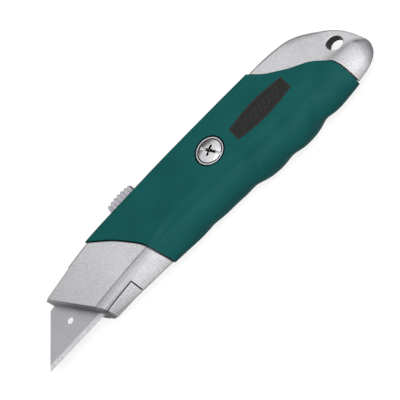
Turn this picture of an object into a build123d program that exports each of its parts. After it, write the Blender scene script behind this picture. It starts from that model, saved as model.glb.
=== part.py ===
from build123d import *
import math
import os

# Retractable utility knife: a die-cast casing in two halves with rubber grip skins, a
# sliding blade carrier under a sprung thumb button, and spare blades kept in the handle.
# Millimetres. The pieces are modelled with X running from the blade's tip (0) to the tail,
# Y from the belly to the spine, and Z = 0 where the two halves meet; +Z is the right half.
# At the end the knife is laid on its left side, over the middle of its own outline.

# ---- blades --------------------------------------------------------------------------
blade_length = 61.0          # along the cutting edge
blade_height = 19.0
blade_thickness = 0.6
blade_slant = 14.3           # each end slopes in by this much from edge to back
blade_bevel = 2.1            # width of the ground edge
blade_hole_radius = 1.35
blade_hole_x = 17.5          # from either tip, along the edge
blade_hole_y = 9.4
blade_notch_offset = 6.3     # from the blade's middle to each notch in its back
blade_notch_width = 3.0
blade_notch_depth = 2.2
spare_blades = 4
spare_y = -3.4               # the stored blades' cutting edges
spare_gap = 0.2              # from the parting plane to the first stored blade
blade_gap = 0.05             # between stored blades
spare_nest = 0.5             # their front tips lie this far under the drawn-in blade
ledge_width = 5.0            # of the ledges they lie on
ledge_places = (0.28, 0.68)  # along the stored blades, as shares of their length

# ---- casing --------------------------------------------------------------------------
travel = 32.0                # of the blade, from out to fully in
nose_x = 16.1                # the nose's upper corner; the blade stands out in front of it
tail_room = 10.9             # from the stored blades' rear tip to the tail's end
spine_cover = 4.4            # spine above the blade's back
nose_drop = 2.3              # the spine falls by this much towards the nose
belly_front = 5.4            # belly below the cutting edge where the grip starts
belly_rear = 11.0            # and at its deepest
nose_half = 5.0              # half the casing's thickness at the nose
body_half = 7.5              # along the handle
hang_half = 2.1              # and round the hanging hole
tail_swell = 2.6             # the palm swell stands this much over the tapered tail
crease_step = 1.5            # from the nose's flat side down to the belly's bevel
crease_width = 2.4
grip_crease_step = 0.45      # the same fold is soft and shallow under the grip
grip_crease_width = 5.5
tail_crease_width = 7.0
nose_flatness = 0.33         # where the bevel bends at the nose, as a share of its width
grip_fullness = 0.5          # and under the grip, where it is a full round
edge_radius = 1.1
tail_edge_radius = 2.4
mouth_slope = 0.632          # run of the nose's end face for each millimetre down
lip_depth = 0.75             # stepped lip round the mouth, measured along the blade
lip_step = 0.5
chin_radius = 2.6            # rounding under the mouth
step_height = 1.0            # step down along the spine at the nose
step_length = 14.4
wall = 1.5
parting_gap = 0.08           # fine seam between the casing's halves
skirt = 2.0                  # each half is drawn this far past the parting plane, then cut
running_gap = 0.3            # round the pieces that slide

# ---- nose lug of the left half, let into the right half --------------------------------
lug_front_y = -2.15
lug_rear_y = -1.3
lug_length = 28.6            # from the nose's upper corner
lug_rake = 0.7               # its rear edge leans back by this much
lug_seam = 0.4

# ---- rubber grips --------------------------------------------------------------------
grip_proud = 0.7             # above the casing
grip_recess = 1.0            # depth let into the casing
grip_seam = 0.6              # open groove round each grip
grip_parting = 0.02          # from each grip to the parting plane
side_trim = 0.03             # skimmed off the grip's side, which leaves it truly flat
finger_grooves = [(88.4, 0.7), (67.4, 1.0), (50.4, 1.15), (32.9, 1.4)]  # from the tail, depth
groove_width = 3.0
groove_lean = 6.5            # the finger grooves lean back by this much on their way up
groove_fade = 0.6

# ---- body screw ----------------------------------------------------------------------
screw_setback = 4.8          # behind the stored blades' front tip
screw_y = 10.3
screw_head_radius = 4.55
screw_head_height = 2.4
screw_dome = 0.7
screw_sink = 0.05            # the head's rim and its collar stand this far below the grip
screw_shank_radius = 2.0
screw_length = 11.0          # under the head
screw_end_gap = 0.4          # below its tip
screw_slot_width = 1.1
screw_slot_depth = 1.2
screw_cross_width = 0.9
screw_cross_length = 3.4      # between the middles of its rounded ends
screw_cross_end = 0.55        # radius of those ends
screw_cross_depth = 2.0
screw_slot_angle = -64.0
screw_clearance = 0.2        # round the shank in the right half
thread_gap = 0.05            # and in the left half
collar_inner = 4.95          # raised ring round the head
collar_wall = 0.5
boss_wall = 1.4

# ---- badges --------------------------------------------------------------------------
badge_inset = 43.9           # from the tail's end to the badge's middle
badge_y = 7.0
badge_length = 26.4
badge_height = 9.1
badge_end_height = 6.2
badge_tilt = -1.5
badge_depth = 0.9            # let into the grip
badge_rim = 0.8
badge_relief = 0.3
badge_bars = 9
badge_bar_pitch = 2.2
badge_bar_width = 1.0
badge_bar_lean = 20.0
badge_bar_end = 0.4          # from each bar's ends to the rim
badge_bar_top = 0.05         # share of the relief by which the bars stay under the rim
badge_gap = 0.02

# ---- hanging hole --------------------------------------------------------------------
hang_inset = 8.6             # from the tail's end
hang_y = 7.2
hang_radius = 3.1
hang_rounding = 0.5
hang_zone = 20.0             # the stretch at the tail that is worked for the hole

# ---- carrier, thumb button and springs -----------------------------------------------
carrier_reach = 3.0          # the carrier's plate starts this far behind the blade's middle
carrier_plate = 1.9
carrier_web = 9.0            # the plate runs on under the slider by this much
carrier_low = 5.2
carrier_lip = 0.6            # the slider's top above the blade's back
slider_height = 5.0
slider_length = 22.7
slider_half = 3.0
button_setback = 11.5        # from the slider's front to the middle of the button
button_length = 12.2
button_half = 5.0
button_height = 3.9
button_gap = 0.4             # left under the button when it is pressed
button_crown = 0.9
button_rounding = 1.2        # of its four corners, seen from above
button_ridges = 7
ridge_height = 0.7
flute_radius = 0.55          # of the furrows between the ridges, down the sides
flute_depth = 0.25
press_travel = 1.2
neck_length = 7.0
neck_half = 1.6
pocket_web = 1.0             # slider left under the button's pocket
pocket_gap = 0.15
bow_height = 1.8             # of the bowed spring, free
bow_thickness = 0.3
bow_half = 1.2
pin_radius = 0.6
pin_cover = 0.8              # from the slider's top to the pin's axis
detent_thickness = 0.25
detent_length = 12.0
detent_height = 2.4
detent_bump = 0.8
detent_nose_setback = 1.5    # from the leaf's front end to its nose
detent_nose_foot = 2.2
detent_nose_tip = 0.7
detent_rivet_setback = 2.0
detent_notches = 4
rivet_radius = 0.8
rivet_head = 1.25
rivet_head_height = 0.22
bay_front = 46.0             # the hollow starts this far behind the nose's upper corner
bay_half = 3.9               # and reaches this far from the parting plane
bay_end = 26.0               # from the tail's end; only the blades' pocket runs on behind it
rail_front = 48.0            # rail under the slider in the right half, behind that corner
rail_width = 1.1

# ---- spring clip over the stored blades -------------------------------------------------
clip_setback = 22.0          # behind the stored blades' front tip
clip_width = 5.0
clip_thickness = 0.35
clip_reach = 11.5
clip_post_radius = 1.9

# ---- places that follow from the sizes above ---------------------------------------------
spine_height = blade_height + spine_cover
spare_x = blade_length + travel - spare_nest
tail_x = spare_x + blade_length + tail_room
hang_x = tail_x - hang_inset
badge_x = tail_x - badge_inset
screw_x = spare_x + screw_setback
clip_x = spare_x + clip_setback
clip_post_y = spare_y + blade_height + clip_post_radius + running_gap
grip_face = body_half + grip_proud - side_trim
carrier_front = blade_length / 2 + carrier_reach
carrier_top = blade_height + carrier_lip
slider_low = carrier_top - slider_height
carrier_split = blade_length - blade_slant * slider_low / blade_height + running_gap
carrier_rear = carrier_split + slider_length
button_x = carrier_split + button_setback
button_base = spine_height + grip_proud + press_travel + button_gap
button_top = button_base + button_height
pocket_floor = slider_low + pocket_web
neck_low = pocket_floor + bow_height
pin_y = carrier_top - pin_cover
detent_y = (slider_low + carrier_top) / 2
detent_nose_x = carrier_rear - detent_length + detent_nose_setback
detent_rivet_x = carrier_rear - detent_rivet_setback
bevel_steps = 8              # points along a section's bevel
far = 60.0                   # well clear of the knife


def smooth(points, x):
    """A smooth curve through (x, value) points that never overshoots them."""
    if x <= points[0][0]:
        return points[0][1]
    if x >= points[-1][0]:
        return points[-1][1]
    i = max(k for k in range(len(points) - 1) if points[k][0] <= x)
    (x0, y0), (x1, y1) = points[i], points[i + 1]
    slope = (y1 - y0) / (x1 - x0)
    before = after = slope
    if i > 0:
        before = (y0 - points[i - 1][1]) / (x0 - points[i - 1][0])
    if i + 2 < len(points):
        after = (points[i + 2][1] - y1) / (points[i + 2][0] - x1)
    slope0 = 0 if before * slope <= 0 else 2 * before * slope / (before + slope)
    slope1 = 0 if after * slope <= 0 else 2 * after * slope / (after + slope)
    w = x1 - x0
    t = (x - x0) / w
    return ((1 + 2 * t) * (1 - t) ** 2 * y0 + t * (1 - t) ** 2 * w * slope0
            + t * t * (3 - 2 * t) * y1 + t * t * (t - 1) * w * slope1)


# ---- the casing's outline and sections --------------------------------------------------
def spine(x):
    top = spine_height
    return smooth([(nose_x, top - nose_drop), (nose_x + 14, top - 0.75), (nose_x + 28, top),
                   (nose_x + 60, top + 0.1), (tail_x - 54, top - 0.7), (tail_x - 36, top - 1.3),
                   (tail_x - 28, top - 1.3), (tail_x - 22, top - 1.5), (tail_x - 17, top - 2.2),
                   (tail_x - 11.4, top - 4.8), (tail_x - 8.4, top - 7.4),
                   (tail_x - 5.4, top - 10.7), (tail_x - 2.4, top - 16.0),
                   (tail_x - 0.8, top - 21.2), (tail_x, top - 24.7)], x)


def belly(x):
    front = -belly_front
    rear = -belly_rear
    return smooth([(nose_x, front + 3.4), (nose_x + 14, front + 2.5), (nose_x + 28, front + 0.9),
                   (nose_x + 44, front), (nose_x + 56, front - 0.2), (tail_x - 74, front - 0.8),
                   (tail_x - 64.4, rear + 3.0), (tail_x - 56.4, rear + 1.5), (tail_x - 42, rear),
                   (tail_x - 24, rear + 0.4), (tail_x - 12, rear + 1.2), (tail_x - 8, rear + 1.7),
                   (tail_x - 4.4, rear + 3.0), (tail_x - 2, rear + 4.8),
                   (tail_x - 0.7, rear + 6.8), (tail_x, rear + 8.8)], x)


def half_thickness(x):
    return smooth([(nose_x, nose_half), (nose_x + 36, body_half), (tail_x - 34, body_half),
                   (tail_x - 22, body_half - 1.2), (tail_x - 14, body_half - 3.6),
                   (hang_x, hang_half), (tail_x - 4, hang_half - 0.2),
                   (tail_x - 1.2, hang_half - 0.6), (tail_x, 0.5 * hang_half)], x)


def crease(x):
    """Height of the line where the flat side ends and the belly's bevel begins."""
    return smooth([(nose_x, -1.6), (nose_x + 14, -1.4), (nose_x + 28, -0.7), (nose_x + 44, -0.3),
                   (nose_x + 70, -0.3), (tail_x - 64.4, -1.6), (tail_x - 56.4, -3.4),
                   (tail_x - 44, -4.5), (tail_x - 30, -4.0), (tail_x - 19, -2.0),
                   (tail_x - 8, -1.4), (tail_x, -2.0)], x)


def crease_drop(x):
    """How far the bevel's upper edge lies below the flat side; negative on the palm swell."""
    return smooth([(nose_x, 0.7 * crease_step), (nose_x + 26, crease_step),
                   (nose_x + 42, 0.9 * crease_step), (nose_x + 62, grip_crease_step),
                   (tail_x - 40, grip_crease_step), (tail_x - 24, 0.0),
                   (tail_x - 9, -tail_swell), (tail_x - 3, -0.5 * tail_swell), (tail_x, 0)], x)


def cove_width(x):
    """Height of the rounding from the crease up to the flat side."""
    return smooth([(nose_x, crease_width + 0.4), (nose_x + 42, crease_width),
                   (nose_x + 62, grip_crease_width), (tail_x - 30, grip_crease_width),
                   (tail_x - 12, tail_crease_width), (tail_x, tail_crease_width)], x)


def softness(x):
    """0 where the crease is a crisp valley, 1 where both sides flow into each other."""
    return smooth([(nose_x + 38, 0.0), (nose_x + 62, 1.0)], x)


def bell(u):
    return math.exp(-u * u / 2)


def dent(x, share):
    """Depth of the finger grooves at x, at this share of the bevel's height."""
    return sum(depth * bell((x - tail_x + inset - groove_lean * share) / groove_width)
               for inset, depth in finger_grooves)


def bezier(guides, t):
    """The point at t on the cubic curve that four (y, z) guide points shape."""
    weights = ((1 - t) ** 3, 3 * t * (1 - t) ** 2, 3 * t * t * (1 - t), t ** 3)
    return tuple(sum(w * g[i] for w, g in zip(weights, guides)) for i in (0, 1))


def cross_section(x, grow, grooved):
    """The right half's section at x as a closed wire, grown by grow and past the parting."""
    top = spine(x) + grow
    low = belly(x) - grow
    fold = crease(x)
    side = half_thickness(x) + grow
    hip = side - crease_drop(x)
    soft = softness(x)
    edge = smooth([(tail_x - 36, edge_radius), (tail_x - 10, tail_edge_radius)], x) + grow / 2
    edge = min(edge, 0.8 * side, 0.25 * (top - low))
    cove = min(cove_width(x), (top - edge - fold) / 2)
    drop = fold - low
    bend = nose_flatness + (grip_fullness - nose_flatness) * soft
    full = (1 - nose_flatness) + nose_flatness * soft
    guides = [(low, 0), (low + 0.08 * drop * (1 - soft), hip * bend),
              (fold - (0.33 + 0.22 * soft) * drop, hip * full), (fold, hip)]
    steps = [k / bevel_steps for k in range(bevel_steps + 1)]
    bevel = []
    for t in steps:
        y, z = bezier(guides, t)
        groove = dent(x, t) if grooved else 0
        y += groove * math.cos(math.pi / 2 * t)
        z -= groove * math.sin(math.pi / 2 * t) * (1 - groove_fade * t)
        bevel.append(Vector(x, y, z))
    leaving, arriving = (3 * Vector(0, b[0] - a[0], b[1] - a[1])
                         for a, b in (guides[:2], guides[2:]))
    foot = bevel[-1]
    head = Vector(x, fold + cove, side)
    rise = side - foot.Z
    flat_end = Vector(x, top - edge, side)
    inset = edge * (1 - math.sqrt(0.5))
    back = Vector(x, top, side - edge)
    below = [back, Vector(x, top, -skirt), Vector(x, bevel[0].Y, -skirt), bevel[0]]
    return Wire([Edge.make_spline(bevel, parameters=steps, tangents=[leaving, arriving],
                                  scale=False),
                 Edge.make_bezier(foot, foot + Vector(0, 0.5 * cove, 0.3 * rise * (1 - soft)),
                                  head - Vector(0, 0.5 * cove * soft, 0.8 * rise * (1 - soft)),
                                  head),
                 Edge.make_line(head, flat_end),
                 Edge.make_three_point_arc(flat_end, Vector(x, top - inset, side - inset), back)]
                + [Edge.make_line(*ends) for ends in zip(below, below[1:])])


def end_cap(sides, x):
    """The flat end at x of the surfaces in sides."""
    rim = [edge for face in sides for edge in face.edges()
           if abs(edge.center().X - x) + edge.bounding_box().size.X < 0.01]
    return Face(Wire(rim))


def hull(first, last, pitch, grow=0.0, grooved=False, ends=()):
    """The right half's outer form from first to last along X, then on through ends."""
    count = math.ceil((last - first) / pitch)
    places = [first + (last - first) * i / count for i in range(count + 1)] + list(ends)
    loft = Solid.make_loft([cross_section(x, grow, grooved) for x in places])
    sides = [face for face in loft.faces() if face.bounding_box().size.X > 0.01]
    caps = [end_cap(sides, x) for x in (places[0], places[-1])]
    return Part() + Solid(Shell(sides + caps))


# ---- small helpers ---------------------------------------------------------------------
def slab(outline, z0, z1):
    """A straight-sided outline in XY, thickened from z0 to z1."""
    face = make_face(Polyline(*outline, close=True))
    return extrude(Plane.XY.offset(z0) * face, amount=z1 - z0, dir=(0, 0, 1))


def block(x0, x1, y0, y1, z0, z1):
    return Pos((x0 + x1) / 2, (y0 + y1) / 2, (z0 + z1) / 2) * Box(x1 - x0, y1 - y0, z1 - z0)


def post(x, y, radius, z0, z1):
    return Pos(x, y, (z0 + z1) / 2) * Cylinder(radius, z1 - z0)


def across(part):
    """The same piece on the other side of the parting plane."""
    return mirror(part, about=Plane.XY)


def mouth_x(y):
    """Where the nose's end face lies at height y."""
    return nose_x + (spine(nose_x) - step_height - y) * mouth_slope


# ---- casing halves ---------------------------------------------------------------------
def grip_zone(gap):
    """The side area that a grip covers, with a groove of width gap round it."""
    front = [(nose_x + 21.5, spine_height + 6), (nose_x + 26.6, spine_height - 0.6),
             (nose_x + 34, spine_height - 8.8), (nose_x + 38, spine_height - 14.5),
             (nose_x + 41, spine_height - 19.6), (nose_x + 42.5, -belly_front + 4.6),
             (nose_x + 44.1, -belly_front - 0.1), (nose_x + 45.5, -belly_front - 8)]
    rear = [(tail_x - 13.6, -belly_rear - 8), (tail_x - 13.5, -belly_rear + 2.5),
            (tail_x - 13.7, -belly_rear + 6.6), (tail_x - 15.4, spine_height - 21.6),
            (tail_x - 19.4, spine_height - 17.3), (tail_x - 26.4, spine_height - 13.2),
            (tail_x - 30.4, spine_height - 10.2), (tail_x - 34.4, spine_height - 6.6),
            (tail_x - 37.2, spine_height - 3.0), (tail_x - 42.5, spine_height + 6)]
    front = Spline(*[(x - gap, y) for x, y in front])
    rear = Spline(*[(x + gap, y) for x, y in rear])
    face = make_face([front, Line(front @ 1, rear @ 0), rear, Line(rear @ 1, front @ 0)])
    return extrude(face, amount=far, both=True)


def mouth_cut():
    """What lies in front of the sloping mouth, with the chin rounded into the belly."""
    slope = math.atan(mouth_slope)
    turn = math.pi / 2 - slope
    run = chin_radius * math.tan(turn / 2)
    x = mouth_x(belly(nose_x + step_length))
    low = belly(x)
    start = (x - run * math.sin(slope), low + run * math.cos(slope))
    end = (x + run, low)
    angle = math.pi + slope + turn / 2
    middle = (end[0] + chin_radius * math.cos(angle), low + chin_radius * (1 + math.sin(angle)))
    rest = Polyline(end, (end[0], -far), (-far, -far), (-far, far), (mouth_x(far), far), start)
    return extrude(make_face([ThreePointArc(start, middle, end), rest]), amount=far, both=True)


def spine_step():
    """What the small step takes off the top of the nose."""
    rear = spine(nose_x + step_length) - step_height
    fall = (rear - spine(nose_x) + step_height) / step_length
    front = rear - fall * (nose_x + step_length + far)
    return slab([(-far, far), (nose_x + step_length, far), (nose_x + step_length, rear),
                 (-far, front)], -far, far)


def mouth_lip():
    """A thin band behind the mouth, outside the stepped lip."""
    width = lip_depth * math.hypot(1, mouth_slope)
    band = slab([(mouth_x(far) - 1, far), (mouth_x(lug_front_y) - 1, lug_front_y),
                 (mouth_x(lug_front_y) + width, lug_front_y), (mouth_x(far) + width, far)],
                -far, far)
    return band - hull(nose_x - 4, nose_x + 20, 4, grow=-lip_step)


def lug_area(gap):
    rear = nose_x + lug_length - gap
    low = -belly_front - 2
    return slab([(nose_x, lug_front_y - gap), (rear, lug_rear_y - gap), (rear + lug_rake, low),
                 (nose_x, low)], -far, far)


def hollow():
    """The handle's hollow, the carrier's bay and the blade's slot, in one half."""
    first = nose_x + bay_front
    last = tail_x - bay_end
    count = 10
    xs = [first + (last - first) * i / count for i in range(count + 1)]
    rim = wall + grip_recess
    roof = [(x, spine(x) - rim) for x in xs]
    floor = [(x, crease(x) - 0.5) for x in reversed(xs)]
    room = slab(roof + floor, 0, bay_half)
    room += block(carrier_front - running_gap, first + 1, carrier_low - running_gap,
                  carrier_top + running_gap, 0, carrier_plate + 2 * running_gap)
    room += block(carrier_split - running_gap, first + 1, slider_low - running_gap,
                  carrier_top + running_gap, 0, bay_half)
    slit = blade_thickness / 2 + pocket_gap
    room += block(nose_x - 10, first + 1, -running_gap, blade_height + running_gap, 0, slit)
    neck = neck_length / 2 + running_gap
    room += block(button_x - neck, button_x + neck + travel, carrier_top - 1, far,
                  0, neck_half + running_gap)
    return room - post(screw_x, screw_y, screw_shank_radius + screw_clearance + boss_wall, 0, far)


def outer_form():
    """The right half's outside, solid, with the nose's end and the hanging hole made."""
    tail_places = [tail_x - d for d in (7.5, 5.5, 4.0, 2.8, 1.8, 1.0, 0.45, 0.1)]
    form = hull(nose_x - 4, tail_x - 10, 3.5, ends=tail_places)
    zone = block(tail_x - hang_zone, tail_x + far, -far, far, -far, far)
    tail = (form & zone) - post(hang_x, hang_y, hang_radius, -far, far)
    rims = [edge for edge in tail.edges() if edge.center().Z > 0
            and math.dist(edge.center(), (hang_x, hang_y, edge.center().Z)) < hang_radius]
    form = (form - zone) + fillet(rims, hang_rounding)
    return form - mouth_cut() - spine_step() - mouth_lip()


def casing_half(form, core):
    """One half before the features that differ from side to side."""
    half = form - (grip_zone(grip_seam) - core) - hollow()
    return half - block(-far, tail_x + far, -far, far, -far, parting_gap / 2)


def screw_seat():
    """Height of the face that the body screw's head sits on."""
    return grip_face - screw_sink - screw_head_height


def right_shell(half):
    rail_top = slider_low - running_gap
    shell = half - lug_area(0)
    shell += post(screw_x, screw_y, collar_inner + collar_wall, bay_half + 1,
                  screw_seat() + screw_head_height)
    shell += block(nose_x + rail_front, carrier_rear + travel, rail_top - rail_width, rail_top,
                   blade_thickness / 2 + pocket_gap, bay_half + 1)
    shell -= post(screw_x, screw_y, collar_inner, screw_seat(), far)
    return shell - post(screw_x, screw_y, screw_shank_radius + screw_clearance, -1, far)


def left_shell(half, form):
    shell = across(half)
    lug = form & lug_area(lug_seam) - block(-far, far, -far, far, -far, 0)
    shell += lug + across(lug)
    shell -= post(screw_x, screw_y, screw_shank_radius + thread_gap,
                  screw_seat() - screw_length - screw_end_gap, 1)
    floor = -spare_gap - spare_blades * (blade_thickness + blade_gap)
    pocket = offset(make_face(Polyline(*blade_outline(), close=True)), amount=running_gap,
                    kind=Kind.INTERSECTION)
    shell -= Pos(spare_x, spare_y, floor) * extrude(pocket, amount=far, dir=(0, 0, 1))
    for share in ledge_places:
        x = spare_x + share * blade_length
        shell += block(x - ledge_width / 2, x + ledge_width / 2, spare_y + 0.5,
                       spare_y + blade_height - 1, -bay_half - 0.5, floor)
    shell += post(clip_x, clip_post_y, clip_post_radius, -bay_half - 1, -spare_gap)
    shell -= post(clip_x, clip_post_y, rivet_radius, -bay_half, 1)
    for i in range(detent_notches):
        x = detent_nose_x + travel * i / (detent_notches - 1)
        shell -= Pos(x, detent_y, -bay_half) * Rot(90, 0, 0) * Cylinder(
            detent_bump, detent_height + 1)
    return shell


# ---- grips and badges --------------------------------------------------------------------
def badge_outline(grow):
    """The badge's barrel-shaped outline, grown by grow."""
    half = badge_length / 2 + grow
    end = badge_end_height / 2 + grow
    mid = badge_height / 2 + grow
    upper = ThreePointArc((-half, end), (0, mid), (half, end))
    lower = ThreePointArc((half, -end), (0, -mid), (-half, -end))
    face = make_face([upper, Line(upper @ 1, lower @ 0), lower, Line(lower @ 1, upper @ 0)])
    return Pos(badge_x, badge_y) * Rot(0, 0, badge_tilt) * face


def badge():
    """A plain insert with a thin rim and slanted bars in the place of any lettering."""
    body = extrude(Plane.XY.offset(grip_face - badge_depth) * badge_outline(-badge_gap),
                   amount=badge_depth, dir=(0, 0, 1))
    field = extrude(Plane.XY.offset(grip_face - badge_relief) * badge_outline(-badge_rim),
                    amount=badge_relief + 1, dir=(0, 0, 1))
    bars = Part()
    bar_length = badge_end_height - 2 * (badge_rim + badge_bar_end)
    bar_z = grip_face - (0.5 + badge_bar_top) * badge_relief
    for i in range(badge_bars):
        x = badge_x + (i - (badge_bars - 1) / 2) * badge_bar_pitch
        bars += Pos(x, badge_y, bar_z) * Rot(0, 0, badge_tilt - badge_bar_lean) * Box(
            badge_bar_width, bar_length, badge_relief)
    return body - (field - bars)


def grip(core):
    """The skin that both sides share; the right one is cut again round the body screw."""
    skin = hull(nose_x + 20, tail_x - 10, 2.6, grow=grip_proud, grooved=True)
    skin = (skin & grip_zone(0)) - core
    skin -= block(-far, tail_x + far, -far, far, grip_face, far)
    skin -= extrude(Plane.XY.offset(grip_face - badge_depth) * badge_outline(0),
                    amount=far, dir=(0, 0, 1))
    neck = neck_length / 2 + running_gap
    skin -= block(button_x - neck, button_x + neck + travel, carrier_top, far,
                  -far, neck_half + running_gap)
    return skin - block(-far, tail_x + far, -far, far, -far, grip_parting)


# ---- blades --------------------------------------------------------------------------------
def blade_outline():
    return [(0, 0), (blade_length, 0), (blade_length - blade_slant, blade_height),
            (blade_slant, blade_height)]


def blade():
    """A standard two-ended blade, lying from its tip at the origin along +X."""
    t = blade_thickness / 2
    plate = slab(blade_outline(), -t, t)
    for side in (1, -1):
        wedge = Polyline((-1, -0.01, 0.04 * side), (-1, -0.01, 2 * side),
                         (-1, blade_bevel, 2 * side), (-1, blade_bevel, t * side), close=True)
        plate -= extrude(make_face(wedge), amount=blade_length + 2, dir=(1, 0, 0))
    middle = blade_length / 2
    for way in (-1, 1):
        plate -= post(middle + way * (middle - blade_hole_x), blade_hole_y, blade_hole_radius, -1, 1)
        x = middle + way * blade_notch_offset
        plate -= block(x - blade_notch_width / 2, x + blade_notch_width / 2,
                       blade_height - blade_notch_depth, blade_height + 1, -1, 1)
    return plate


def spare_blade(i):
    z = -spare_gap - (i + 0.5) * (blade_thickness + blade_gap)
    return Pos(spare_x, spare_y, z) * blade()


def clip():
    """Leaf that holds the stored blades down, riveted to its post."""
    top = clip_post_y + clip_post_radius
    z = -spare_gap
    leaf = block(clip_x - clip_width / 2, clip_x + clip_width / 2, top - clip_reach, top,
                 z, z + clip_thickness)
    return leaf - post(clip_x, clip_post_y, rivet_radius, -5, 5)


def clip_rivet():
    z = -spare_gap + clip_thickness
    shank = post(clip_x, clip_post_y, rivet_radius, -bay_half, z)
    return shank + post(clip_x, clip_post_y, rivet_head, z, z + rivet_head_height)


# ---- carrier and what rides on it --------------------------------------------------------
def blade_carrier():
    t = blade_thickness / 2
    back = -t - carrier_plate
    body = block(carrier_front, carrier_rear, slider_low, carrier_top, back, -t)
    body += block(carrier_front, carrier_split + carrier_web, carrier_low, carrier_top, back, -t)
    body += block(carrier_split, carrier_rear, slider_low, carrier_top, -slider_half, slider_half)
    notch = blade_length / 2 + blade_notch_offset
    body += block(notch - blade_notch_width / 2 + pocket_gap,
                  notch + blade_notch_width / 2 - pocket_gap,
                  blade_height - blade_notch_depth + pocket_gap, carrier_top, back, t)
    neck = neck_length / 2 + pocket_gap
    body -= block(button_x - neck, button_x + neck, pocket_floor, far,
                  -neck_half - pocket_gap, neck_half + pocket_gap)
    body -= post(button_x, pin_y, pin_radius, -far, far)
    body -= post(detent_rivet_x, detent_y, rivet_radius, -far, 0)
    return body


def thumb_button():
    """Ridged cap on a neck that runs down into the carrier's pocket."""
    left = button_x - button_length / 2
    pitch = button_length / button_ridges
    edges = []
    heights = []
    for i in range(button_ridges + 1):
        u = (2 * i / button_ridges - 1) ** 2
        heights.append(button_top - ridge_height - button_crown * u)
    for i in range(button_ridges):
        start = (left + i * pitch, heights[i])
        end = (left + (i + 1) * pitch, heights[i + 1])
        crest = ((start[0] + end[0]) / 2, (start[1] + end[1]) / 2 + ridge_height)
        edges.append(ThreePointArc(start, crest, end))
    right = left + button_length
    edges.append(Polyline((right, heights[-1]), (right, button_base), (left, button_base),
                          (left, heights[0])))
    cap = extrude(Plane.XY.offset(-button_half) * make_face(edges), amount=2 * button_half,
                  dir=(0, 0, 1))
    plan = RectangleRounded(button_length, 2 * button_half, button_rounding)
    cap &= Pos(button_x, 0) * Rot(90, 0, 0) * extrude(plan, amount=far, both=True)
    for i in range(1, button_ridges):
        for side in (1, -1):
            z = side * (button_half + flute_radius - flute_depth)
            cap -= Pos(left + i * pitch, button_base, z) * Rot(90, 0, 0) * Cylinder(
                flute_radius, far)
    neck = block(button_x - neck_length / 2, button_x + neck_length / 2, neck_low,
                 button_base + 0.5, -neck_half, neck_half)
    slot = pin_radius + pocket_gap
    neck -= block(button_x - slot, button_x + slot, pin_y - slot, pin_y + slot + press_travel,
                  -far, far)
    return cap + neck


def button_spring():
    """Bowed leaf between the pocket's floor and the button's neck."""
    half = neck_length / 2 - 0.2
    low, high = pocket_floor, neck_low - bow_thickness
    under = ThreePointArc((button_x - half, low), (button_x, high), (button_x + half, low))
    over = ThreePointArc((button_x + half, low + bow_thickness),
                         (button_x, high + bow_thickness),
                         (button_x - half, low + bow_thickness))
    face = make_face([under, Line(under @ 1, over @ 0), over, Line(over @ 1, under @ 0)])
    return extrude(Plane.XY.offset(-bow_half) * face, amount=2 * bow_half, dir=(0, 0, 1))


def button_pin():
    return post(button_x, pin_y, pin_radius, -slider_half, slider_half)


def detent_spring():
    """Leaf on the carrier's left face, with a nose that drops into the casing's notches."""
    z = -slider_half
    x0 = carrier_rear - detent_length
    leaf = block(x0, carrier_rear, detent_y - detent_height / 2, detent_y + detent_height / 2,
                 z - detent_thickness, z)
    reach = bay_half - slider_half + 0.5 * detent_bump
    x = detent_nose_x
    foot = detent_nose_foot / 2
    tip = detent_nose_tip / 2
    nose = make_face(Polyline((x - foot, z - detent_thickness), (x - tip, z - reach),
                              (x + tip, z - reach), (x + foot, z - detent_thickness), close=True))
    nose = extrude(Plane.XZ.offset(-detent_y - detent_height / 2) * nose,
                   amount=detent_height, dir=(0, -1, 0))
    leaf += nose
    return leaf - post(detent_rivet_x, detent_y, rivet_radius, -far, far)


def detent_rivet():
    z = -slider_half - detent_thickness
    shank = post(detent_rivet_x, detent_y, rivet_radius, z, -slider_half / 3)
    return shank + post(detent_rivet_x, detent_y, rivet_head, z - rivet_head_height, z)


def body_screw():
    """Domed head with a long slot and a cross recess, over a plain shank."""
    seat = screw_seat()
    top = seat + screw_head_height
    ball = (screw_head_radius ** 2 + screw_dome ** 2) / (2 * screw_dome)
    head = post(screw_x, screw_y, screw_head_radius, seat, top + screw_dome)
    head &= Pos(screw_x, screw_y, top + screw_dome - ball) * Sphere(ball)
    shank = post(screw_x, screw_y, screw_shank_radius, seat - screw_length, seat)
    place = Pos(screw_x, screw_y, top + screw_dome) * Rot(0, 0, screw_slot_angle)
    slot = place * Box(4 * screw_head_radius, screw_slot_width, 2 * screw_slot_depth)
    arm = Box(screw_cross_length, screw_cross_width, 2 * screw_cross_depth)
    for way in (-1, 1):
        arm += Pos(way * screw_cross_length / 2, 0) * Cylinder(
            screw_cross_end, 2 * screw_cross_depth)
    return head + shank - slot - place * arm - place * Rot(0, 0, 90) * arm


# ---- the whole knife -----------------------------------------------------------------------
def build():
    form = outer_form()
    core = hull(nose_x + 16, tail_x - 8, 4.5, grow=-grip_recess)
    half = casing_half(form, core)
    skin = grip(core)
    screw_opening = post(screw_x, screw_y, collar_inner + collar_wall + grip_seam, -1, far)
    parts = {"right_shell": right_shell(half), "left_shell": left_shell(half, form),
             "right_grip": skin - screw_opening, "left_grip": across(skin),
             "right_badge": badge(), "left_badge": across(badge()),
             "body_screw": body_screw(), "cutting_blade": blade(),
             "blade_carrier": blade_carrier(), "thumb_button": thumb_button(),
             "button_spring": button_spring(), "button_pin": button_pin(),
             "detent_spring": detent_spring(), "detent_rivet": detent_rivet(),
             "spare_blade_clip": clip(), "clip_rivet": clip_rivet()}
    for i in range(spare_blades):
        parts[f"spare_blade_{i + 1}"] = spare_blade(i)
    return parts


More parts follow.
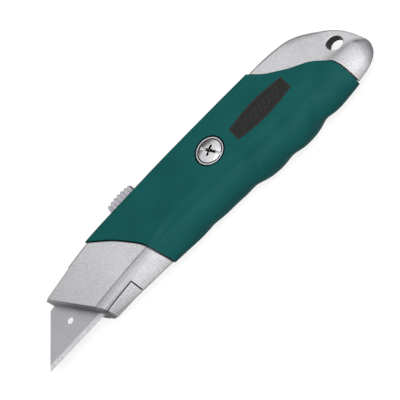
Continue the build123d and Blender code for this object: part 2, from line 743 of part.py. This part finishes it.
def lay_down(parts):
    """Moves the origin below the middle of the knife's box, on the surface it lies on."""
    boxes = [part.bounding_box() for part in parts.values()]
    middle_x = (min(b.min.X for b in boxes) + max(b.max.X for b in boxes)) / 2
    middle_y = (min(b.min.Y for b in boxes) + max(b.max.Y for b in boxes)) / 2
    lowest = min(b.min.Z for b in boxes)
    shift = Pos(-middle_x, -middle_y, -lowest)
    print("origin is at", round(middle_x, 4), round(middle_y, 4), round(lowest, 4))
    return {name: shift * part for name, part in parts.items()}


os.makedirs("parts", exist_ok=True)
for name, part in lay_down(build()).items():
    export_step(part, f"parts/{name}.step")
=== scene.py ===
import math

import bmesh
import bpy
from mathutils import Matrix, Vector

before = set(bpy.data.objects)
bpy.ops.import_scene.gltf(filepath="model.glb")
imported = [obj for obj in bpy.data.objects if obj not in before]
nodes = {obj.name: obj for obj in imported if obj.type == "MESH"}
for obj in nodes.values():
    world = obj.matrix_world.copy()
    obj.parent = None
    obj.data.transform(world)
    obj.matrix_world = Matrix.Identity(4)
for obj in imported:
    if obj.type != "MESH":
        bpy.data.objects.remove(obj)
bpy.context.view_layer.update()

# A retractable utility knife lying on its left side. Metres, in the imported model's frame:
# +X from the blade's tip to the tail, +Y from the belly to the spine, +Z off the right side.

MM = 0.001

# places in millimetres that the finishes follow
HANG_HOLE = (73.65, -1.7584)
HANG_RADIUS = 3.1
SCREW = (15.15, 1.3416)
SCREW_RING_TOP = 16.29
SCREW_RING_RADIUS = 6.2
SCREW_SLOT_FLOOR = 15.79
GRIP_FRONT = -38.0          # where the silver nose comes out of the grips
NOSE_FRONT = -62.0
MOUTH_SLANT = (1.0, 0.632, 0.0)
MOUTH = -59.008             # the mouth's face, measured along its slant
LIP_DEPTH = 0.95
CHIN_TOP = -11.2            # the chin under the mouth gets less of the lip's painted shade than the lip above it
CHIN_FOOT = -12.2
TAIL_MIDDLE = (61.0, -8.0)
TAIL_RIM = 17.7             # the hollow flank of the tail lies inside this radius
COVE_SLANT = (-0.033, 1.0, 0.0)
COVE_TOP = -5.9             # the fold between the nose's flat and its bevel
COVE_FOOT = -9.3
BLADE_EDGE = -8.9582
SPARE_EDGE = -12.3582
GROUND_STRIP = 1.9          # height of the ground strip along a blade's edge


# ---- helpers -----------------------------------------------------------------------------
def linear(colour):
    """sRGB hex to the linear RGBA that the shaders take."""
    parts = [int(colour[i:i + 2], 16) / 255 for i in (1, 3, 5)]
    parts = [p / 12.92 if p <= 0.04045 else ((p + 0.055) / 1.055) ** 2.4 for p in parts]
    return (*parts, 1.0)


def add(tree, kind, inputs, output=None, **settings):
    """Adds a node with its settings, and its inputs as values or links from other sockets.

    Returns the output of that name or number, or the whole node if none is asked for.
    """
    node = tree.nodes.new("ShaderNode" + kind)
    for name, value in settings.items():
        setattr(node, name, value)
    for key, value in inputs.items():
        if isinstance(value, bpy.types.NodeSocket):
            tree.links.new(value, node.inputs[key])
        else:
            node.inputs[key].default_value = value
    return node if output is None else node.outputs[output]


def start_finish(name):
    """An empty material, and the place on the piece in millimetres for its patterns."""
    material = bpy.data.materials.new(name)
    material.use_nodes = True
    tree = material.node_tree
    tree.nodes.clear()
    place = add(tree, "TexCoord", {}, "Object")
    place = add(tree, "Mapping", {"Vector": place, "Scale": [1 / MM] * 3}, "Vector")
    return material, tree, place


def end_finish(tree, tone, roughness, relief, depth, rounding, **shader):
    """Joins a finish's colour, roughness and relief to its shader.

    The relief is depth millimetres deep, and edges catch the light as if they were rounded
    by rounding millimetres.
    """
    normal = add(tree, "Bevel", {"Radius": rounding * MM}, "Normal", samples=6)
    normal = add(tree, "Bump", {"Height": relief, "Distance": depth * MM, "Normal": normal},
                 "Normal")
    values = {name.replace("_", " "): value for name, value in shader.items()}
    surface = add(tree, "BsdfPrincipled", {"Base Color": tone, "Roughness": roughness,
                                           "Normal": normal, **values}, "BSDF")
    add(tree, "OutputMaterial", {"Surface": surface})


def wash(tree, tone, over, *limits, share=1.0):
    """Lays the colour over on tone, at most by share.

    A limit is a pattern, its value where the wash starts and its value where it is full, and
    may end with how much there is before the start. The wash is where all limits allow it.
    """
    tone, over = (linear(c) if isinstance(c, str) else c for c in (tone, over))
    amount = share
    for pattern, start, full, *least in limits:
        within = add(tree, "MapRange", {"Value": pattern, "From Min": start, "From Max": full,
                                        "To Min": least[0] if least else 0.0}, "Result")
        amount = add(tree, "Math", {0: within, 1: amount}, "Value", operation="MULTIPLY")
    return add(tree, "Mix", {0: amount, 6: tone, 7: over}, 2, data_type="RGBA")


def edge_wear_and_highlight_mask(tree, radius):
    """1 along sharp edges and 0 on open faces, for wear and painted highlight."""
    rounded = add(tree, "Bevel", {"Radius": radius * MM}, "Normal", samples=6)
    true_normal = add(tree, "NewGeometry", {}, "Normal")
    likeness = add(tree, "VectorMath", {0: rounded, 1: true_normal}, "Value",
                   operation="DOT_PRODUCT")
    return add(tree, "MapRange", {"Value": likeness, "From Min": 0.95, "From Max": 0.8},
               "Result")


def painted_crevice_shade_mask(tree, reach, shallow=0.85, deep=0.4):
    """1 in gaps, folds and corners up to reach millimetres wide, for painted shade there."""
    openness = add(tree, "AmbientOcclusion", {"Distance": reach * MM}, "AO", samples=12)
    return add(tree, "MapRange", {"Value": openness, "From Min": shallow, "From Max": deep},
               "Result")


def from_axis(tree, place, x, y):
    """Distance in millimetres from the upright line through x, y."""
    flat = add(tree, "VectorMath", {0: place, 1: (1, 1, 0)}, "Vector", operation="MULTIPLY")
    return add(tree, "VectorMath", {0: flat, 1: (x, y, 0)}, "Value", operation="DISTANCE")


def painted_shade_rim_facing(tree):
    """How far a rounded rim is turned to the spine, or less strongly to the tail's end, for
    the painted shade on those rims.
    """
    rounded = add(tree, "Bevel", {"Radius": 0.7 * MM}, "Normal", samples=6)
    outward = add(tree, "VectorTransform", {"Vector": rounded}, "Vector",
                  vector_type="NORMAL", convert_from="WORLD", convert_to="OBJECT")
    tailward, spineward, _ = add(tree, "SeparateXYZ", {"Vector": outward}).outputs
    tailward = add(tree, "Math", {0: tailward, 1: 0.6}, "Value", operation="MULTIPLY")
    return add(tree, "Math", {0: tailward, 1: spineward}, "Value", operation="MAXIMUM")


# ---- materials ----------------------------------------------------------------------------
def silver_lacquer(name, dark, light):
    """Die-cast zinc alloy, blasted and sprayed with silver lacquer.

    Aluminium flake glints in grains over a blasted skin. Both are drawn at 0.4 to 0.9 mm,
    coarser than the real ones, so that they show. Sharp edges are lighter, partly rubbed
    lacquer and partly painted highlight. Painted shade darkens the rounded rims turned to the
    spine and the tail's end, the folds and seams, the fold along the nose's bevel, the inside
    of the hanging hole, the mouth's lip and the ring round the screw, and the nose grows
    darker towards its front.
    """
    material, tree, place = start_finish(name)
    along, across, height = add(tree, "SeparateXYZ", {"Vector": place}).outputs
    flake = add(tree, "TexNoise", {"Vector": place, "Scale": 1 / 0.42}, "Fac")
    pits = add(tree, "Mapping", {"Vector": place, "Scale": [1 / 0.85] * 3,
                                 "Location": [11.0] * 3}, "Vector")
    pits = add(tree, "TexNoise", {"Vector": pits, "Scale": 1.0}, "Fac")
    cloud = add(tree, "Mapping", {"Vector": place, "Scale": [1 / 9.0] * 3,
                                  "Location": [4.0] * 3}, "Vector")
    cloud = add(tree, "TexNoise", {"Vector": cloud, "Scale": 1.0}, "Fac")
    tone = wash(tree, dark, light, (flake, 0.36, 0.64))
    tone = wash(tree, tone, dark, (pits, 0.45, 0.3), share=0.4)
    tone = wash(tree, tone, light, (cloud, 0.3, 0.7), share=0.35)
    # Painted shade: a darker tone in folds and seams up to 1.4 mm wide.
    tone = wash(tree, tone, "#6C6A70", (painted_crevice_shade_mask(tree, 1.4, 0.72, 0.45), 0, 1), share=0.5)
    # Lighter along sharp edges: partly rubbed lacquer, partly painted highlight.
    tone = wash(tree, tone, "#ECEBEE", (edge_wear_and_highlight_mask(tree, 0.6), 0, 1), share=0.6)

    # Painted shade on rounded rims turned to the spine, and less to the tail's end, outside the
    # tail's hollow flank; faces turned fully to the spine are spared.
    shade_rim_turn = painted_shade_rim_facing(tree)
    off_tail = from_axis(tree, place, *TAIL_MIDDLE)
    tone = wash(tree, tone, "#6A686E", (shade_rim_turn, 0.05, 0.4), (shade_rim_turn, 0.98, 0.88),
                (off_tail, TAIL_RIM - 1.0, TAIL_RIM + 0.5), share=0.88)
    # Painted shade: near black in narrow gaps and seams.
    tone = wash(tree, tone, "#0C0C0D", (painted_crevice_shade_mask(tree, 0.9, 0.66, 0.42), 0, 1))
    # Painted shade inside the hanging hole.
    tone = wash(tree, tone, "#2C2C2E", (from_axis(tree, place, *HANG_HOLE),
                                        HANG_RADIUS + 0.15, HANG_RADIUS + 0.02))
    # Painted shade: the nose grows darker towards its front.
    tone = wash(tree, tone, "#8A898D", (along, GRIP_FRONT, NOSE_FRONT), share=0.3)

    # Painted shade along the fold between the nose's flat and its bevel, on the nose only.
    up_cove = add(tree, "VectorMath", {0: place, 1: COVE_SLANT}, "Value",
                  operation="DOT_PRODUCT")
    tone = wash(tree, tone, "#68666C", (up_cove, COVE_FOOT, COVE_TOP - 0.5),
                (up_cove, COVE_TOP + 0.1, COVE_TOP - 0.1), (along, 0.0, -5.0), share=0.6)

    # Painted shade on the mouth's lip, darker towards the belly and lighter on the chin.
    behind_mouth = add(tree, "VectorMath", {0: place, 1: MOUTH_SLANT}, "Value",
                       operation="DOT_PRODUCT")
    painted_lip_shade = wash(tree, "#5F5E61", "#949396", (across, 0.0, 12.0))
    tone = wash(tree, tone, painted_lip_shade,
                (behind_mouth, MOUTH + LIP_DEPTH, MOUTH + LIP_DEPTH - 0.15),
                (across, CHIN_FOOT, CHIN_TOP, 0.3))
    # Painted shade, near black, on the side of the ring round the screw.
    tone = wash(tree, tone, "#141415",
                (from_axis(tree, place, *SCREW), SCREW_RING_RADIUS + 0.1, SCREW_RING_RADIUS),
                (height, SCREW_RING_TOP - 0.1, SCREW_RING_TOP - 0.2))

    roughness = add(tree, "MapRange", {"Value": flake, "From Min": 0.3, "From Max": 0.7,
                                       "To Min": 0.5, "To Max": 0.62}, "Result")
    end_finish(tree, tone, roughness, flake, depth=0.05, rounding=0.25,
               Metallic=0.25, Specular_Tint=(0.5, 0.5, 0.5, 1.0))
    return material


def soft_grip_rubber():
    """Thermoplastic rubber moulded in a spark-eroded tool.

    The tool leaves a fine even matt grain, drawn at 0.3 mm so that it shows, so highlights
    are broad and faint, with a trace of polish on the flats where the hand rubs.
    """
    material, tree, place = start_finish("moulded_grip_rubber")
    grain = add(tree, "TexNoise", {"Vector": place, "Scale": 1 / 0.3, "Detail": 3.0}, "Fac")
    cloud = add(tree, "Mapping", {"Vector": place, "Scale": [1 / 12.0] * 3,
                                  "Location": [7.0] * 3}, "Vector")
    cloud = add(tree, "TexNoise", {"Vector": cloud, "Scale": 1.0}, "Fac")
    tone = wash(tree, "#104A49", "#165452", (cloud, 0.3, 0.7))
    tone = wash(tree, tone, "#1C6160", (grain, 0.35, 0.65), share=0.3)
    # Painted shade in gaps and grooves.
    tone = wash(tree, tone, "#051514", (painted_crevice_shade_mask(tree, 1.2), 0, 1))
    roughness = add(tree, "MapRange", {"Value": cloud, "From Min": 0.3, "From Max": 0.7,
                                       "To Min": 0.52, "To Max": 0.66}, "Result")
    end_finish(tree, tone, roughness, grain, depth=0.02, rounding=0.35,
               Specular_IOR_Level=0.06)
    return material


def badge_plastic():
    """Moulded ABS insert with a satin field; the raised rim and bars get lighter edges,
    partly rubbed and partly painted highlight.
    """
    material, tree, place = start_finish("moulded_badge_abs")
    grain = add(tree, "TexNoise", {"Vector": place, "Scale": 1 / 0.25}, "Fac")
    tone = wash(tree, "#222322", "#2B2C2B", (grain, 0.35, 0.65))
    # Lighter along the raised edges: partly rubbed, partly painted highlight.
    tone = wash(tree, tone, "#656763", (edge_wear_and_highlight_mask(tree, 0.22), 0, 1))
    # Painted shade in the recesses.
    tone = wash(tree, tone, "#0C0D0C", (painted_crevice_shade_mask(tree, 0.6), 0, 1))
    roughness = add(tree, "MapRange", {"Value": grain, "From Min": 0.3, "From Max": 0.7,
                                       "To Min": 0.42, "To Max": 0.58}, "Result")
    end_finish(tree, tone, roughness, grain, depth=0.015, rounding=0.1,
               Specular_IOR_Level=0.1)
    return material


def nickel_plate():
    """Nickel on turned steel, dulled by handling, with faint turning marks, lighter edges that
    are partly painted highlight, and its slot and cross painted black as shade.
    """
    material, tree, place = start_finish("worn_nickel_plate")
    height = add(tree, "SeparateXYZ", {"Vector": place}, "Z")
    ring = add(tree, "CombineXYZ", {"X": from_axis(tree, place, *SCREW)}, "Vector")
    marks = add(tree, "TexNoise", {"Vector": ring, "Scale": 1 / 0.16}, "Fac")
    cloud = add(tree, "TexNoise", {"Vector": place, "Scale": 1 / 1.6, "Detail": 3.0}, "Fac")
    tone = wash(tree, "#C9C8CA", "#E2E1E4", (marks, 0.3, 0.7))
    tone = wash(tree, tone, "#A09FA2", (cloud, 0.4, 0.7), share=0.4)
    # Lighter along sharp edges: partly wear, partly painted highlight.
    tone = wash(tree, tone, "#E4E3E6", (edge_wear_and_highlight_mask(tree, 0.2), 0, 1))
    # Painted shade: near black in the slot and cross below the head's face.
    tone = wash(tree, tone, "#0E0E0F",
                (height, SCREW_SLOT_FLOOR - 0.1, SCREW_SLOT_FLOOR - 0.25))
    roughness = add(tree, "MapRange", {"Value": marks, "From Min": 0.3, "From Max": 0.7,
                                       "To Min": 0.2, "To Max": 0.32}, "Result")
    end_finish(tree, tone, roughness, marks, depth=0.008, rounding=0.2, Metallic=1.0)
    return material


def blade_steel(name, edge_y):
    """Hardened strip steel, rolled along its length, with a ground edge at height edge_y.

    The grinding runs across the edge and stops along a slightly uneven line. Both marks are
    drawn about 0.1 mm wide, coarser than the real ones, so that they show.
    """
    material, tree, place = start_finish(name)
    patterns = {}
    for pattern, size, seed, stretch in (("rolled", 0.1, 0.0, (40, 1, 1)),
                                         ("ground", 0.12, 3.0, (1, 30, 30)),
                                         ("stain", 6.0, 2.0, (1, 1, 1)),
                                         ("ragged", 0.5, 5.0, (1, 40, 40))):
        spot = add(tree, "Mapping", {"Vector": place, "Scale": [1 / (size * s) for s in stretch],
                                     "Location": [seed] * 3}, "Vector")
        patterns[pattern] = add(tree, "TexNoise", {"Vector": spot, "Scale": 1.0,
                                                   "Detail": 3.0}, "Fac")
    rolled, ground = patterns["rolled"], patterns["ground"]

    height = add(tree, "SeparateXYZ", {"Vector": place}, "Y")
    from_edge = add(tree, "Math", {0: height, 1: edge_y}, "Value", operation="SUBTRACT")
    uneven = add(tree, "MapRange", {"Value": patterns["ragged"], "From Min": 0.3,
                                    "From Max": 0.7, "To Min": -0.12, "To Max": 0.12}, "Result")
    from_edge = add(tree, "Math", {0: from_edge, 1: uneven}, "Value", operation="ADD")
    strip = add(tree, "MapRange", {"Value": from_edge, "From Min": GROUND_STRIP + 0.1,
                                   "From Max": GROUND_STRIP - 0.1}, "Result")

    tone = wash(tree, "#A9A7AC", "#B3B1B6", (rolled, 0.3, 0.7))
    tone = wash(tree, tone, "#9F9DA2", (patterns["stain"], 0.4, 0.75), share=0.35)
    bright = wash(tree, "#A8A6A9", "#C4C3C5", (ground, 0.35, 0.65))
    tone = wash(tree, tone, bright, (strip, 0, 1))

    rolled_gloss = add(tree, "MapRange", {"Value": rolled, "From Min": 0.3, "From Max": 0.7,
                                          "To Min": 0.34, "To Max": 0.44}, "Result")
    ground_gloss = add(tree, "MapRange", {"Value": ground, "From Min": 0.3, "From Max": 0.7,
                                          "To Min": 0.48, "To Max": 0.6}, "Result")
    roughness = add(tree, "Mix", {"Factor": strip, "A": rolled_gloss, "B": ground_gloss},
                    "Result")
    relief = add(tree, "Mix", {"Factor": strip, "A": rolled, "B": ground}, "Result")
    end_finish(tree, tone, roughness, relief, depth=0.003, rounding=0.06, Metallic=0.85)
    return material


def plain_metal(name, dark, light, gloss, grain_size):
    """Castings, springs and pins inside the handle: a fine grain, lighter edges that are
    partly painted highlight, and painted shade in corners.
    """
    material, tree, place = start_finish(name)
    grain = add(tree, "TexNoise", {"Vector": place, "Scale": 1 / grain_size, "Detail": 3.0},
                "Fac")
    tone = wash(tree, dark, light, (grain, 0.3, 0.7))
    # Lighter along sharp edges: partly wear, partly painted highlight.
    tone = wash(tree, tone, light, (edge_wear_and_highlight_mask(tree, 0.2), 0, 1))
    # Painted shade in gaps and corners.
    tone = wash(tree, tone, "#2B2B2C", (painted_crevice_shade_mask(tree, 0.8), 0, 1))
    roughness = add(tree, "MapRange", {"Value": grain, "From Min": 0.3, "From Max": 0.7,
                                       "To Min": gloss - 0.06, "To Max": gloss + 0.08}, "Result")
    end_finish(tree, tone, roughness, grain, depth=0.02, rounding=0.15, Metallic=1.0)
    return material


def dress(material, *names):
    for name in names:
        mesh = nodes[name].data
        mesh.materials.clear()
        mesh.materials.append(material)


# ---- the knife ----------------------------------------------------------------------------
dress(silver_lacquer("silver_lacquered_zinc", "#B3B2B5", "#D3D2D5"),
      "right_shell", "left_shell")
dress(silver_lacquer("silver_lacquered_button", "#AAA8B0", "#D0CED4"), "thumb_button")
dress(soft_grip_rubber(), "right_grip", "left_grip")
dress(badge_plastic(), "right_badge", "left_badge")
dress(nickel_plate(), "body_screw")
dress(blade_steel("ground_blade_steel", BLADE_EDGE), "cutting_blade")
dress(blade_steel("stored_blade_steel", SPARE_EDGE),
      *[f"spare_blade_{i}" for i in range(1, 5)])
dress(plain_metal("bare_cast_zinc", "#8F8F92", "#A8A8AB", gloss=0.5, grain_size=0.4),
      "blade_carrier")
dress(plain_metal("blued_spring_steel", "#5D6068", "#7F828B", gloss=0.3, grain_size=0.3),
      "button_spring", "detent_spring", "spare_blade_clip")
dress(plain_metal("turned_pin_steel", "#97979A", "#B4B4B7", gloss=0.28, grain_size=0.2),
      "button_pin", "detent_rivet", "clip_rivet")


# ---- floor, light and camera --------------------------------------------------------------
def direct_view(tree):
    """1 for what the camera, mirrors and glass see, and 0 for light that is scattered."""
    path = add(tree, "LightPath", {})
    seen = path.outputs["Is Camera Ray"]
    for ray in ("Is Glossy Ray", "Is Transmission Ray"):
        seen = add(tree, "Math", {0: seen, 1: path.outputs[ray]}, "Value",
                   operation="MAXIMUM")
    return seen


def stage_sheet(name, material, width, depth, place):
    """A flat sheet, width along X and depth along Y, that is then moved by place."""
    shape = bmesh.new()
    bmesh.ops.create_grid(shape, x_segments=1, y_segments=1, size=0.5)
    bmesh.ops.transform(shape, matrix=place @ Matrix.Diagonal((width, depth, 1, 1)),
                        verts=shape.verts)
    mesh = bpy.data.meshes.new(name)
    shape.to_mesh(mesh)
    shape.free()
    mesh.materials.append(material)
    sheet = bpy.data.objects.new(name, mesh)
    bpy.context.scene.collection.objects.link(sheet)
    return sheet


def pale_floor(size):
    """A white sheet under the knife, full white where no shadow falls.

    It gives the eye and reflections a little light of its own, which lifts the shadow.
    """
    material = bpy.data.materials.new("white_sheet")
    material.use_nodes = True
    tree = material.node_tree
    tree.nodes.clear()
    seen = direct_view(tree)
    tone = wash(tree, "#969696", "#8A8A8A", (seen, 0, 1))
    matt = add(tree, "BsdfDiffuse", {"Color": tone}, "BSDF")
    strength = add(tree, "MapRange", {"Value": seen, "To Max": 0.8}, "Result")
    glow = add(tree, "Emission", {"Strength": strength}, "Emission")
    surface = add(tree, "AddShader", {0: matt, 1: glow}, "Shader")
    add(tree, "OutputMaterial", {"Surface": surface})
    stage_sheet("floor", material, size, size, Matrix())


def dark_card(near, height, length):
    """A black card beyond the spine that only reflections see: it gives metal its darks."""
    material = bpy.data.materials.new("black_velvet")
    material.use_nodes = True
    shader = material.node_tree.nodes["Principled BSDF"]
    shader.inputs["Base Color"].default_value = linear("#0A0A0A")
    upright = Matrix.Translation((0, near, height / 2)) @ Matrix.Rotation(math.pi / 2, 4, "X")
    card = stage_sheet("dark_card", material, length, height, upright)
    card.visible_camera = card.visible_diffuse = card.visible_shadow = False


def studio_world(ambient):
    """White all round to the eye and in reflections, and soft fill of strength ambient."""
    world = bpy.data.worlds.new("studio")
    bpy.context.scene.world = world
    world.use_nodes = True
    tree = world.node_tree
    tree.nodes.clear()
    strength = add(tree, "MapRange", {"Value": direct_view(tree), "To Min": ambient}, "Result")
    sky = add(tree, "Background", {"Color": (1, 1, 1, 1), "Strength": strength}, "Background")
    add(tree, "OutputWorld", {"Surface": sky})


def softbox(name, direction, distance, size, power):
    """A square lamp that faces the knife's middle from direction."""
    lamp = bpy.data.lights.new(name, "AREA")
    lamp.shape = "SQUARE"
    lamp.size = size
    lamp.energy = power
    holder = bpy.data.objects.new(name, lamp)
    bpy.context.scene.collection.objects.link(holder)
    way = Vector(direction).normalized()
    holder.location = way * distance
    holder.rotation_euler = way.to_track_quat("Z", "Y").to_euler()


def camera(azimuth, elevation, roll, distance, aim, lens):
    """A camera that looks at aim from azimuth (0 is from -Y) and elevation, then rolled."""
    az, el, turn = (math.radians(a) for a in (azimuth, elevation, roll))
    back = Vector((math.sin(az) * math.cos(el), -math.cos(az) * math.cos(el), math.sin(el)))
    right = Vector((math.cos(az), math.sin(az), 0))
    up = back.cross(right)
    across = math.cos(turn) * right + math.sin(turn) * up
    upward = math.cos(turn) * up - math.sin(turn) * right
    lens_data = bpy.data.cameras.new("camera")
    lens_data.lens = lens
    lens_data.clip_start = 0.01
    eye = bpy.data.objects.new("camera", lens_data)
    bpy.context.scene.collection.objects.link(eye)
    turned = Matrix((across, upward, back)).transposed().to_4x4()
    eye.matrix_world = Matrix.Translation(aim + back * distance) @ turned
    bpy.context.scene.camera = eye


pale_floor(size=0.9)
studio_world(ambient=0.14)
softbox("key_light", direction=(0.1, -0.6, 0.9), distance=1.0, size=0.9, power=6.7)
softbox("top_light", direction=(0.2, -0.3, 1.0), distance=1.0, size=0.8, power=5.45)
dark_card(near=0.1, height=0.085, length=0.4)
camera(azimuth=4.99, elevation=53.66, roll=-50.67, distance=0.55,
       aim=Vector((-0.15, -4.62, 8.17)) * MM, lens=137.7)
bpy.context.scene.view_settings.view_transform = "Standard"
